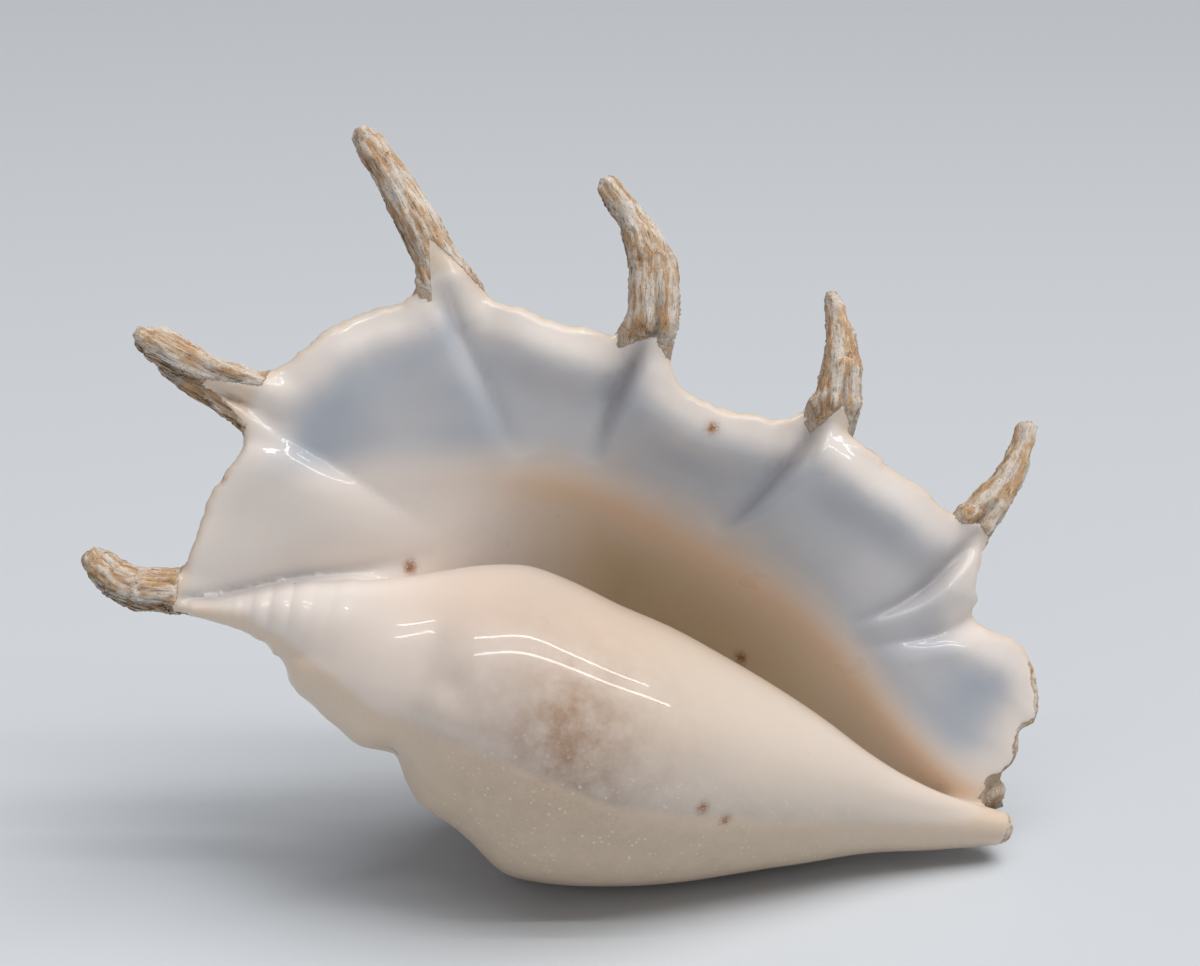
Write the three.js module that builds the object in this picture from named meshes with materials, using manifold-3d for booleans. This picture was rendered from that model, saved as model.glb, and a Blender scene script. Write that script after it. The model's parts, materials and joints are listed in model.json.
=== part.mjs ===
// Spider conch shell, one grown piece, lying on its body whorl with its opening to the front.
// Millimetres, +Z up, -Y to the front; the origin is under the middle of its box, on the ground.
import * as THREE from 'three';
import { mergeVertices } from 'three/addons/utils/BufferGeometryUtils.js';
import Module from 'manifold-3d';

// Driving dimensions. Along: from the apex to the canal. Up: across the coil's axis to the lip.
// Front: out of the opening. The back angle turns about the axis: 0 up, 90 back, 180 down, 270 front.
const APEX = -6;
const WORN_APEX = 4.5;
const SHOULDER = 88;
const CANAL_START = 228;
const CANAL_LENGTH = 246;
const SHELL_END = 238;
const WHORLS = 5;
const SPIRE_SHRINK = 1.22;
const WALL = 6;
const CAVITY_DEPTH = 1.35;
const CAVITY_FLOOR = -0.35;
const SHALLOWEST_CAVITY = 3.5;
const CAVITY_BLEND = 12;
const CAVITY_SPAN = [-40, 250, 130, 110];
const FLOOR_NARROWING = 0.55;
const LIP_THICKNESS = 4.5;
const LIP_THICKENING = 3;
const THICKENING_FROM_EDGE = [2, 40];
const RIM_THICKNESS = 3;
const RIM_WIDTH = 0.5;
const ROLLED_RIM = 4;
const ROLLED_RIM_REACH = 13;
const ROLLED_RIM_UP = [20, 60];
const SWAG = 4.5;
const SWAG_FROM_EDGE = [13, 25];
const SWAG_UP = [40, 60];
const SWAG_START = [28, 50];
const SWAG_END = [200, 215];
const LEAN_BACK = 20.58;
const CANAL_DOWN = 16.19;
const TURN = 3.85;
const APEX_POSITION = [-90.91, -22.83, 77];
const GROUND_DEPTH = 60;
const GROUND_SIZE = 600;

// The last whorl's radius along the axis, where the coil has turned to the underside.
const WHORL_RADIUS = [[0, 0], [8, 2], [14, 6], [20, 9.5], [38, 18.3], [44, 18.9], [48.5, 18.8],
  [51, 22.5], [54, 27], [59, 32], [65, 35.3], [75, 39.5], [84, 44.5], [88, 46.5], [94, 47.5],
  [104, 47], [122, 44.8], [143, 39], [159, 33.2], [172, 28], [180, 25.2], [199, 17.8], [223, 11.2],
  [235, 7.8], [246, 4.4]];
// The radius inside the mouth, without the steps of the outside.
const MOUTH_RADIUS = [[0, 0], [20, 9.5], [44, 20], [60, 31], [75, 39.5], [84, 44.5], [94, 47.5],
  [104, 47], [122, 44.8], [143, 39], [159, 33], [172, 27], [199, 18], [223, 12.4], [235, 9], [246, 5]];
// How much the last half whorl widens on its way from the underside round the back to the lip.
const WIDENING = [[0, 1.8], [30, 1.62], [60, 1.44], [90, 1.33], [112, 1.2], [135, 1.05], [159, 1],
  [180, 0.98]];

// The glazed body in the opening: its radius upwards, to the front and downwards.
const BODY_TOP = [[-12, 0], [0, 14], [22, 27], [42, 36], [56, 41.5], [70, 44.3], [83, 42.8], [98, 39.5],
  [118, 36], [133, 32], [149, 27.3], [170, 19.9], [187, 12.4], [200, 7.5], [212, 4.5], [240, 4]];
const BODY_FRONT = [[-4, 0], [2, 3.5], [8, 10.5], [16, 17], [36, 28], [56, 38], [80, 45],
  [104, 45.5], [125, 42], [149, 34], [170, 27], [195, 17], [220, 10], [240, 7]];
const BODY_BOTTOM = [[4, 0], [7, 4], [9, 7.8], [13, 10.9], [18, 12.9], [23, 14.3], [29, 18.1],
  [35, 19.3], [42, 19.2], [45, 22.6], [48, 26.3], [53, 31.5], [58, 33.8], [64, 36], [71, 39.5], [82, 46.3],
  [90, 47.6], [98, 47.6], [116, 44.8], [137, 39.1], [153, 33], [165, 28.4], [174, 25], [193, 17.6],
  [217, 11], [229, 7.2], [238, 4.4]];
const BODY_BACK_SHARE = 0.45;
const BODY_START = -10;

// Knobs on the back: along, back angle, height, spread.
const KNOBS = [[70, 116, 11, 9], [89, 112, 13, 11], [121, 112, 11, 12], [150, 108, 8, 10],
  [105, 62, 13, 16], [64, 70, 10, 11], [135, 60, 11, 12], [92, 159, 6, 16]];

// The height at which the cavity's back wall turns outwards into the lip.
const FLARE_HEIGHT = [[-40, 34], [0, 48], [30, 60], [60, 68], [77, 70], [92, 68.5], [106, 65.2],
  [128, 58.8], [155, 49], [173, 37.5], [191, 23], [216, 8], [240, 4]];
const FLARE_REACH = 0.08;
const TURNING_SHARE = 0.866;
const TURNING_DEPTH = 0.5;
const TURNING_SLOPE = 1.5;
const FLATTEST_SHARE = 0.97;

// The lip's outline from the first digit round to the canal, and its root line under the body.
const LIP_OUTLINE = [[-33, 6], [-32.5, 26], [-30, 44.5], [-24.5, 62], [-27.5, 69], [-26, 76.5],
  [-17, 88.5], [-8, 100.5], [4, 109.5], [12, 114], [18, 126], [28, 127], [37, 122.5], [50, 121],
  [66, 120], [77, 121], [86, 127], [94, 123], [100, 112.5], [111, 108], [125, 107.5], [138, 108.5],
  [148.5, 117], [157, 108.5], [170, 102.5], [183.5, 98], [195, 92.5], [205, 93.5], [210, 86],
  [211.5, 74], [214, 68], [212.5, 62.5], [219.5, 59.5], [228.5, 57.5], [237.5, 50], [239, 41],
  [239, 34.5], [236.5, 28], [236, 22], [233, 14.5], [228.5, 9.5], [229, 4]];
const LIP_ROOT = [[-28, 9], [-12, 8], [0, 4], [12, -1], [30, -9], [60, -13], [105, -20], [150, -15],
  [190, -9], [223, -6]];

// Creases that run from the digits down the lip, and one along the body: path, depth, reach of the
// gentle side, height of the roll on the steep side (+ left of the path), and the share of the depth
// at the start of the path.
const FOLDS = [
  { path: [[-45, 75], [-34, 72.5], [-18, 66.5], [2, 60.5], [22, 54], [42, 48]],
    depth: 2.6, reach: 13, roll: -2.4, start: 0.4 },
  { path: [[17, 133], [22, 123], [31, 110], [40, 99], [50, 87], [60, 76]],
    depth: 3.6, reach: 9, roll: -2.6, start: 0.5 },
  { path: [[87.5, 121], [86.5, 113], [84.5, 101.5], [83.5, 92], [84, 80]],
    depth: 4.4, reach: 8, roll: 3.6, start: 0.5 },
  { path: [[148.5, 114], [146.5, 104], [141.5, 92], [134, 78], [127, 68]],
    depth: 4.2, reach: 8, roll: 3.4, start: 0.5 },
  { path: [[206, 88], [201, 78], [193, 66], [183, 57], [172, 50]],
    depth: 3.8, reach: 7, roll: 2.8, start: 0.5 },
  { path: [[-36, 19], [-24, 17.5], [-12, 18], [4, 23], [22, 31], [42, 41]],
    depth: 3, reach: 9, roll: -1, start: 0.5 },
  { path: [[215, 63.5], [207, 57.5], [198, 52.5], [187, 48], [176, 43]],
    depth: 4, reach: 6, roll: 3, start: 1 },
];
const FOLD_WALL = 4.5;
const ROLL_REACH = 12;
const FOLD_FADE = [0, 0.5];
const FOLD_GROWTH = [0, 0.2];
const FOLD_CLEARANCE = 12;
const SWAG_LOSS = 0.9;

// The digits, root to tip: along, up, front, radius. The second has two strands.
const DIGITS = [
  [[24, 5, -2, 12], [-2, 11, -4, 8.6], [-17, 11.2, -5, 6.2], [-32, 11, -6, 6.2], [-44, 9.5, -6.5, 6.1],
    [-50.5, 10.5, -8, 5.6], [-56, 13, -9.5, 4.8], [-59.5, 15, -11, 3.3]],
  [[-13.5, 76, -8, 4.3], [-27, 77.5, -6, 4.3], [-38, 78.5, -6, 4.7], [-47.5, 80.5, -8, 5.2],
    [-56, 83, -10.5, 5.2], [-60.5, 84, -12, 3.7]],
  [[-12.5, 63, -6, 2.4], [-29.5, 68.5, -6, 2.8], [-37.5, 71, -7, 2.8], [-46, 74, -9, 2.6],
    [-52.5, 76.5, -11, 2]],
  [[37, 107, -13, 5.6], [30, 115.5, -8, 7.4], [23.5, 123.5, -5, 7.7], [17.5, 131, -5, 6.2],
    [11.5, 138, -6, 5.9], [5, 145, -8, 5.3], [-2.5, 153.5, -11, 4.5], [-11, 161.5, -15, 3.4]],
  [[90, 110.5, -14, 5], [89, 119, -8, 7.2], [89, 127.5, -4, 7.8], [87.5, 135.5, -4, 7.8],
    [85.5, 143.5, -5, 7.2], [80.5, 151.5, -6.5, 5.6], [75, 158, -8.5, 4.4], [66.5, 166, -12.5, 3]],
  [[153.5, 99.5, -14, 4.8], [153.5, 108.5, -8, 6.7], [152.5, 117.5, -3.5, 7.3], [151.5, 128, -4, 6],
    [149.5, 137.5, -6, 4.3], [146.5, 146, -8.5, 2.9], [144, 150, -10, 1.9]],
  [[201, 74.5, -14, 4.5], [204.5, 84, -10, 5.8], [206.5, 92.5, -6.5, 6.1], [210, 99, -6.5, 5.5],
    [213.5, 105.5, -7.5, 4.5], [216, 112.5, -9, 3.9], [218, 125, -12, 2.9]],
  [[222, 4, -9, 4], [231.5, 9.5, -7, 3.4]],
];

// Facet counts.
const COIL_FACETS = [36, 34];
const BODY_FACETS = [32, 30];
const LIP_FACETS = [72, 12];
const CAVITY_FACETS = [26, 12];
const DIGIT_FACETS = [9, 9];
const ROOT_CROWDING = 1.6;
const FLOOR_CROWDING = 1.3;
const LAST_RING_GAP = 1.5;
const ROOT_CAP = 0.5;
const TIP_CAP = 0.6;

const SURFACE = { colour: 0xe9ddd2, roughness: 0.35, metalness: 0 };

// Small maths.
const clamp = THREE.MathUtils.clamp;
const smoothStep = (low, high, x) => THREE.MathUtils.smoothstep(x, low, high);

function smoothMax(a, b, soft) {
  const overlap = Math.max(soft - Math.abs(a - b), 0) / soft;
  return Math.max(a, b) + overlap * overlap * soft * 0.25;
}

// A smooth curve through points of rising x that never swings past them.
function profile(points) {
  const last = points.length - 1;
  const chord = [];
  for (let i = 0; i < last; i++) {
    chord.push((points[i + 1][1] - points[i][1]) / (points[i + 1][0] - points[i][0]));
  }
  const slope = points.map((point, i) => {
    if (i === 0) return chord[0];
    if (i === last) return chord[last - 1];
    const [before, after] = [chord[i - 1], chord[i]];
    return before * after <= 0 ? 0 : 2 * before * after / (before + after);
  });
  return (x) => {
    if (x <= points[0][0]) return points[0][1];
    if (x >= points[last][0]) return points[last][1];
    let i = 0;
    while (x > points[i + 1][0]) i++;
    const span = points[i + 1][0] - points[i][0];
    const t = (x - points[i][0]) / span;
    const start = (1 + 2 * t) * (1 - t) ** 2 * points[i][1] + t * (1 - t) ** 2 * span * slope[i];
    return start + t * t * (3 - 2 * t) * points[i + 1][1] + t * t * (t - 1) * span * slope[i + 1];
  };
}

const whorlRadius = profile(WHORL_RADIUS);
const mouthRadius = profile(MOUTH_RADIUS);
const widening = profile(WIDENING);
const bodyTop = profile(BODY_TOP);
const bodyFront = profile(BODY_FRONT);
const bodyBottom = profile(BODY_BOTTOM);
const flareHeight = profile(FLARE_HEIGHT);

// The coil: each whorl repeats the last one at a smaller size, and the largest at a place shows.
function whorlAt(along, size, end, radius) {
  const shoulder = APEX + SHOULDER * size;
  if (along < shoulder) return radius((along - APEX) / size);
  return radius(SHOULDER + (along - shoulder) * (CANAL_LENGTH - SHOULDER) / (end - shoulder));
}

function coilRadius(along, back) {
  let radius = 0;
  for (let turn = 0; turn < WHORLS; turn++) {
    const turns = (180 - back - 360 * turn) / 360;
    const size = 2 ** (turns < 0 ? SPIRE_SHRINK * turns : turns);
    const growth = turn === 0 && back <= 180 ? widening(back) : size;
    radius = smoothMax(radius, growth * whorlAt(along, size, SHELL_END + 2, whorlRadius), 3);
  }
  for (const [knobAlong, knobBack, height, spread] of KNOBS) {
    const arc = THREE.MathUtils.degToRad(THREE.MathUtils.euclideanModulo(back - knobBack + 180, 360) - 180);
    radius += height * Math.exp(-((along - knobAlong) ** 2 + (arc * radius) ** 2) / spread ** 2);
  }
  return radius;
}

function bodyRadius(along, back) {
  const angle = THREE.MathUtils.degToRad(back);
  const end = Math.cos(angle) > 0 ? bodyTop(along) : bodyBottom(along);
  const side = back > 180 ? bodyFront(along) : BODY_BACK_SHARE * bodyFront(along);
  return end * Math.cos(angle) ** 2 + side * Math.sin(angle) ** 2;
}

// The lip's front face: an oval cavity wall that turns outwards and flattens.
function cavityDepth(along) {
  const size = 2 ** (120 / 360);
  const open = CAVITY_DEPTH * whorlAt(along, size, CANAL_START, mouthRadius) - WALL;
  return smoothMax(open, SHALLOWEST_CAVITY, CAVITY_BLEND);
}

function plainLipFront(along, up) {
  const depth = cavityDepth(along);
  const turning = flareHeight(along);
  if (up < turning) {
    const share = clamp(up * TURNING_SHARE / turning, -FLATTEST_SHARE, FLATTEST_SHARE);
    const narrowing = 1 + FLOOR_NARROWING * Math.min(up, 0) / turning;
    return -depth * narrowing * Math.sqrt(1 - share * share);
  }
  const slope = TURNING_SLOPE * depth / turning;
  const reach = (FLARE_REACH + TURNING_DEPTH) * depth / slope;
  return -TURNING_DEPTH * depth + slope * reach * (1 - Math.exp(-(up - turning) / reach));
}

function nearestOnPath(path, along, up) {
  let best = { distance: Infinity };
  for (let i = 0; i < path.length - 1; i++) {
    const [from, to] = [path[i], path[i + 1]];
    const [dx, dy] = [to[0] - from[0], to[1] - from[1]];
    const t = clamp(((along - from[0]) * dx + (up - from[1]) * dy) / (dx * dx + dy * dy), 0, 1);
    const distance = Math.hypot(along - from[0] - t * dx, up - from[1] - t * dy);
    if (distance < best.distance) {
      const side = Math.sign(dy * (along - from[0]) - dx * (up - from[1]));
      best = { distance, side: side || 1, share: (i + t) / (path.length - 1) };
    }
  }
  return best;
}

// Across a crease: a gentle slope down on one side, a steep wall and a broad roll on the other.
function creaseProfile({ depth, reach, roll }, across) {
  if (across < 0) return -depth * Math.exp(-((across / reach) ** 2));
  const height = Math.abs(roll);
  const wall = Math.min(across / FOLD_WALL, 1);
  const fall = Math.exp(-((Math.max(across - FOLD_WALL, 0) / ROLL_REACH) ** 2));
  return ((depth + height) * (1 - (1 - wall) ** 2) - depth) * fall;
}

function lipFront(along, up, fromEdge) {
  let shift = 0;
  let clear = 1;
  for (const fold of FOLDS) {
    const { distance, side, share } = nearestOnPath(fold.path, along, up);
    const grown = fold.start + (1 - fold.start) * smoothStep(...FOLD_GROWTH, share);
    const strength = grown * smoothStep(...FOLD_FADE, 1 - share);
    shift += strength * creaseProfile(fold, -distance * side * Math.sign(fold.roll));
    const crowding = Math.min(2 * strength, 1) * Math.exp(-((distance / FOLD_CLEARANCE) ** 2));
    clear *= 1 - SWAG_LOSS * crowding;
  }
  const panel = clear * smoothStep(...SWAG_START, along) * (1 - smoothStep(...SWAG_END, along));
  shift += SWAG * panel * (1 - smoothStep(...SWAG_FROM_EDGE, fromEdge)) * smoothStep(...SWAG_UP, up);
  shift -= ROLLED_RIM * (1 - smoothStep(0, ROLLED_RIM_REACH, fromEdge)) * smoothStep(...ROLLED_RIM_UP, up);
  return plainLipFront(along, up) + shift;
}

const outlinePoints = LIP_OUTLINE.map(([along, up]) => new THREE.Vector3(along, up, 0));
const rootPoints = LIP_ROOT.map(([along, up]) => new THREE.Vector3(along, up, 0));
const lipOutline = new THREE.CatmullRomCurve3(outlinePoints, false, 'centripetal');
const lipRoot = new THREE.CatmullRomCurve3(rootPoints, false, 'centripetal');

function lipThickness(fromEdge) {
  if (fromEdge < RIM_WIDTH) return RIM_THICKNESS;
  return LIP_THICKNESS + LIP_THICKENING * smoothStep(...THICKENING_FROM_EDGE, fromEdge);
}

// Moves every vertex of a closed primitive with the given function of its position.
function reshape(geometry, move) {
  geometry.deleteAttribute('uv');
  geometry.deleteAttribute('normal');
  const merged = mergeVertices(geometry);
  const position = merged.getAttribute('position');
  const point = new THREE.Vector3();
  for (let i = 0; i < position.count; i++) {
    point.fromBufferAttribute(position, i);
    move(point);
    position.setXYZ(i, point.x, point.y, point.z);
  }
  return merged;
}

// A ball drawn out along the axis, with its rings at the radius that the function gives.
function bodyOfRadius(from, to, [around, rings], radius) {
  return reshape(new THREE.SphereGeometry(1, around, rings), (point) => {
    const ring = Math.round(Math.acos(clamp(point.y, -1, 1)) / Math.PI * rings);
    const along = ring === rings ? to : from + (to - LAST_RING_GAP - from) * ring / (rings - 1);
    const angle = Math.atan2(-point.z, point.x);
    const back = THREE.MathUtils.euclideanModulo(THREE.MathUtils.radToDeg(angle), 360);
    const atPole = ring === 0 || ring === rings;
    const out = atPole ? 0 : radius(along, back);
    point.set(along, out * Math.cos(angle), -out * Math.sin(angle));
  });
}

function lipSheet() {
  const [lengthways, across] = LIP_FACETS;
  return reshape(new THREE.BoxGeometry(1, 1, 1, lengthways, across, 1), (point) => {
    const share = point.x + 0.5;
    const outwards = 1 - (0.5 - point.y) ** ROOT_CROWDING;
    const edge = lipOutline.getPointAt(share);
    const spot = lipRoot.getPoint(share).lerp(edge, outwards);
    const fromEdge = spot.distanceTo(edge);
    const front = lipFront(spot.x, spot.y, fromEdge);
    const thickness = lipThickness(fromEdge);
    const rounding = fromEdge < RIM_WIDTH ? (LIP_THICKNESS - RIM_THICKNESS) / 2 : 0;
    point.set(spot.x, spot.y, front - rounding - (point.z > 0 ? 0 : thickness));
  });
}

// What the opening takes out of the coil: everything in front of the middle of the lip's sheet.
function cavity() {
  const [lengthways, across] = CAVITY_FACETS;
  const [from, to, top, front] = CAVITY_SPAN;
  return reshape(new THREE.BoxGeometry(1, 1, 1, lengthways, across, 1), (point) => {
    const along = from + (to - from) * (point.x + 0.5);
    const floor = CAVITY_FLOOR * cavityDepth(along);
    const up = floor + (top - floor) * (point.y + 0.5) ** FLOOR_CROWDING;
    const middle = plainLipFront(along, up) - (LIP_THICKNESS + LIP_THICKENING) / 2;
    point.set(along, up, point.z > 0 ? front : middle);
  });
}

function digit(points) {
  const [around, rings] = DIGIT_FACETS;
  const centres = points.map(([along, up, front]) => new THREE.Vector3(along, up, front));
  const curve = new THREE.CatmullRomCurve3(centres);
  const radius = profile(points.map((point, i) => [i / (points.length - 1), point[3]]));
  const front = new THREE.Vector3(0, 0, 1);
  return reshape(new THREE.SphereGeometry(1, around, rings), (point) => {
    const ring = Math.round(Math.acos(clamp(point.y, -1, 1)) / Math.PI * rings);
    const share = clamp((ring - 1) / (rings - 2), 0, 1);
    const centre = curve.getPoint(share);
    const tangent = curve.getTangent(share);
    const side = new THREE.Vector3().crossVectors(front, tangent).normalize();
    const out = new THREE.Vector3().crossVectors(tangent, side);
    const reach = radius(share);
    const angle = Math.atan2(point.z, point.x);
    if (ring === 0) centre.addScaledVector(tangent, -ROOT_CAP * reach);
    else if (ring === rings) centre.addScaledVector(tangent, TIP_CAP * reach);
    else {
      centre.addScaledVector(out, reach * Math.cos(angle));
      centre.addScaledVector(side, -reach * Math.sin(angle));
    }
    point.copy(centre);
  });
}

// Joins and cuts.
const wasm = await Module();
wasm.setup();

function solid(geometry) {
  return new wasm.Manifold(new wasm.Mesh({
    numProp: 3,
    vertProperties: new Float32Array(geometry.getAttribute('position').array),
    triVerts: new Uint32Array(geometry.index.array),
  }));
}

const stance = new THREE.Matrix4().makeRotationFromEuler(new THREE.Euler(
  THREE.MathUtils.degToRad(90 - LEAN_BACK),
  THREE.MathUtils.degToRad(CANAL_DOWN),
  THREE.MathUtils.degToRad(TURN),
  'ZYX',
)).setPosition(...APEX_POSITION);

function standing(geometry) {
  return solid(geometry.applyMatrix4(stance));
}

function ground() {
  return solid(reshape(new THREE.BoxGeometry(GROUND_SIZE, GROUND_SIZE, GROUND_DEPTH), (point) => {
    point.z -= GROUND_DEPTH / 2;
  }));
}

function shellSolid() {
  const coil = standing(bodyOfRadius(WORN_APEX, SHELL_END, COIL_FACETS, coilRadius));
  const body = standing(bodyOfRadius(BODY_START, SHELL_END - 1, BODY_FACETS, bodyRadius));
  let shell = coil.subtract(standing(cavity())).add(standing(lipSheet())).add(body);
  for (const points of DIGITS) shell = shell.add(standing(digit(points)));
  return shell.subtract(ground());
}

// Keeps the outer skin alone, so that the gaps of a hair's width where two coats meet are filled.
function outerSkin(triangles) {
  const owner = new Map();
  const find = (vertex) => {
    let root = vertex;
    while (owner.has(root)) root = owner.get(root);
    return root;
  };
  for (let i = 0; i < triangles.length; i += 3) {
    const root = find(triangles[i]);
    for (const vertex of [triangles[i + 1], triangles[i + 2]]) {
      const other = find(vertex);
      if (other !== root) owner.set(other, root);
    }
  }
  const skins = new Map();
  for (let i = 0; i < triangles.length; i += 3) {
    const root = find(triangles[i]);
    if (!skins.has(root)) skins.set(root, []);
    skins.get(root).push(triangles[i], triangles[i + 1], triangles[i + 2]);
  }
  return [...skins.values()].reduce((largest, skin) => (skin.length > largest.length ? skin : largest));
}

function geometryOf(manifold) {
  const { vertProperties, triVerts } = manifold.getMesh();
  const geometry = new THREE.BufferGeometry();
  geometry.setAttribute('position', new THREE.BufferAttribute(vertProperties, 3));
  geometry.setIndex(outerSkin(triVerts));
  geometry.computeVertexNormals();
  return geometry;
}

const material = new THREE.MeshStandardMaterial({
  color: SURFACE.colour,
  roughness: SURFACE.roughness,
  metalness: SURFACE.metalness,
});
const shell = new THREE.Mesh(geometryOf(shellSolid()), material);
shell.name = 'shell';

const conch = new THREE.Group();
conch.name = 'conch';
conch.add(shell);

export default conch;
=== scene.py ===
import json
import math

import bpy
import numpy as np
from mathutils import Matrix, Vector

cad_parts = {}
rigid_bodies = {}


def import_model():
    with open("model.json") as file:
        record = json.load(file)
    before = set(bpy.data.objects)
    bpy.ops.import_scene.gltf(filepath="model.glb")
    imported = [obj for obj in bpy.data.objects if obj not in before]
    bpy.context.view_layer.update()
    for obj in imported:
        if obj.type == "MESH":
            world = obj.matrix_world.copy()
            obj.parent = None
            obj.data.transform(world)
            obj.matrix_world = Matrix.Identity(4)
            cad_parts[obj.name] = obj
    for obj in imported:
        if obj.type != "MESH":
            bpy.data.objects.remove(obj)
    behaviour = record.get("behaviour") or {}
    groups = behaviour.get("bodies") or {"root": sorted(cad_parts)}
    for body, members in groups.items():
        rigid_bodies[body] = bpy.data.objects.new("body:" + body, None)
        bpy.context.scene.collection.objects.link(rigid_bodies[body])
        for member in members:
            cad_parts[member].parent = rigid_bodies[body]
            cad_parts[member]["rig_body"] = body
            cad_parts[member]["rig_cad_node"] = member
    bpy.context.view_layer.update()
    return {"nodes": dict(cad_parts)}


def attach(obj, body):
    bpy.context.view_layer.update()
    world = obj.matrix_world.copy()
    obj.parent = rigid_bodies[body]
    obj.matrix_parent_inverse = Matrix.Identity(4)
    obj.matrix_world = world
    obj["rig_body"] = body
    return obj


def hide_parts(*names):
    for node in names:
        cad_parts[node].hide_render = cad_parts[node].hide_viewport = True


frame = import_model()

# The coiled whorls. A spider conch grows as one tube of lime wound round an axis, each turn wider than
# the last, so only the last turn and the stepped spire show. A few blunt knobs stand on its back.
# Every shape here is measured in mm along the axis, up towards the lip, and out towards the front.

APEX = -6.0                 # where the cone of the spire would come to its point
WORN_APEX = 5.0             # where it is worn off
SHOULDER = 88.0             # from the apex to the widest ring of the last turn
SHELL_END = 246.0
CANAL_START = 240.0
TURNS = 5
SPIRE_SHRINK = 1.22         # how much faster the turns of the spire shrink than the last one grows
MOST_ALONG = 237.5          # where the canal's end is broken off
SLOPE_SHARE = 0.9           # keeps the field's slope at a ring or knob close to 1
WHORL_GIRTH = [  # along, radius
    (0, 0), (20, 9.5), (38, 18.3), (44, 18.9), (48.5, 18.8), (51, 22.5), (54, 27), (59, 32), (65, 35.3),
    (75, 39.5), (84, 44.5), (88, 46.5), (94, 47.5), (104, 47), (122, 44.8), (143, 39), (159, 33.2),
    (172, 28), (180, 25.2), (199, 17.8), (223, 11.2), (235, 7.8), (246, 4.4)]
WIDENING = [  # back angle, how many times the last turn's radius
    (0, 1.8), (30, 1.62), (60, 1.44), (90, 1.33), (112, 1.20), (135, 1.05), (159, 1.0), (180, 0.98)]
KNOBS = [  # along, back angle, height, spread
    (70, 116, 11, 9), (89, 112, 13, 11), (121, 112, 11, 12), (150, 108, 8, 10),
    (105, 62, 13, 16), (64, 70, 10, 11), (135, 60, 11, 12), (92, 159, 6, 16)]


def step(low, high, value):
    share = np.clip((value - low) / (high - low), 0, 1)
    return share * share * (3 - 2 * share)


def soft_min(first, second, blend):
    near = np.maximum(blend - np.abs(first - second), 0) / blend
    return np.minimum(first, second) - near * near * blend / 4


def soft_max(first, second, blend):
    return -soft_min(-first, -second, blend)


def smooth_curve(points, pitch=0.25):
    """A curve through the points that never swings past them, as a fine table."""
    x, y = np.array(points, float).T
    run = np.diff(x)
    rise = np.diff(y) / run
    slope = np.empty(len(x))
    slope[0], slope[-1] = rise[0], rise[-1]
    for i in range(1, len(x) - 1):
        before, after = rise[i - 1], rise[i]
        slope[i] = (before * run[i] + after * run[i - 1]) / (run[i] + run[i - 1])
        if before * after <= 0:
            slope[i] = 0
        slope[i] = math.copysign(min(abs(slope[i]), 3 * abs(before), 3 * abs(after)), slope[i])
    fine = np.arange(x[0], x[-1] + pitch, pitch)
    k = np.clip(np.searchsorted(x, fine, side="right") - 1, 0, len(x) - 2)
    u = np.clip((fine - x[k]) / run[k], 0, 1)
    table = ((2 * u**3 - 3 * u**2 + 1) * y[k] + (u**3 - 2 * u**2 + u) * run[k] * slope[k]
             + (3 * u**2 - 2 * u**3) * y[k + 1] + (u**3 - u**2) * run[k] * slope[k + 1])
    return lambda value: np.interp(value, fine, table)


whorl_girth = smooth_curve(WHORL_GIRTH)
widening = smooth_curve(WIDENING)


def turn_scale(along, scale, canal=CANAL_START):
    """Where a ring of an earlier, smaller turn sits on the table of the last turn."""
    ring = APEX + SHOULDER * scale
    return np.where(along < ring, (along - APEX) / scale,
                    SHOULDER + (along - ring) * (SHELL_END - SHOULDER) / (canal - ring))


def back_angle(up, out):
    """0 is up, 90 the back, 180 the underside and 270 the front."""
    return np.degrees(np.arctan2(-out, up)) % 360


def coil(along, up, out):
    radius = np.hypot(up, out)
    angle = back_angle(up, out)
    girth = None
    for turn in range(TURNS):
        back = (180 - angle - 360 * turn) / 360
        scale = 2.0 ** (back * np.where(back < 0, SPIRE_SHRINK, 1))
        grown = np.where(angle <= 180, widening(angle), scale) if turn == 0 else scale
        ring = grown * whorl_girth(turn_scale(along, scale))
        girth = ring if girth is None else soft_max(girth, ring, 3.0)
    for knob_along, knob_angle, height, spread in KNOBS:
        arc = np.radians((angle - knob_angle + 180) % 360 - 180) * np.minimum(girth, 90)
        girth = girth + height * np.exp(-((along - knob_along) ** 2 + arc**2) / spread**2)
    return (radius - girth) * SLOPE_SHARE


# The body. The last turn bulges out below the lip, glazed by the animal's mantle until the sutures
# of the spire are almost lost. It stands in the mouth as a smooth pillar and runs down to the canal.

BODY_TOP = [  # along, radius; the same in the next two
    (-12, 0), (0, 14), (22, 27), (42, 36), (56, 41.5), (70, 44.3), (83, 42.8), (98, 39.5), (118, 36),
    (133, 32), (149, 27.3), (170, 19.9), (187, 12.4), (200, 7.5), (212, 4.5), (222, 4), (240, 4)]
BODY_FRONT = [
    (-4, 0), (2, 3.5), (8, 10.5), (16, 17), (36, 28), (56, 38), (80, 45), (104, 45.5), (125, 42), (149, 34),
    (170, 27), (195, 17), (220, 10), (240, 7)]
BODY_UNDER = [
    (4, 0), (7, 4), (9, 7.6), (13, 10.9), (18, 12.9), (23, 14.3), (29, 18.1), (35, 19.3), (42, 19.2),
    (45, 22.6), (48, 26.3), (53, 31.5), (58, 33.8), (64, 36), (71, 39.5), (82, 46.3), (90, 47.6),
    (98, 47.6), (116, 44.8), (137, 39.1), (153, 33), (165, 28.4), (174, 25), (193, 17.6), (217, 11),
    (229, 7.2), (238, 4.4)]
BODY_BACK_SHARE = 0.45
SUTURE_SLANT = 0.12
SUTURES = [  # along, half width, height; a negative height is a groove
    (42, 5.0, -1.5), (54, 8.0, 1.1), (28, 7.0, 0.8), (13, 4.0, -0.7)]
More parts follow.
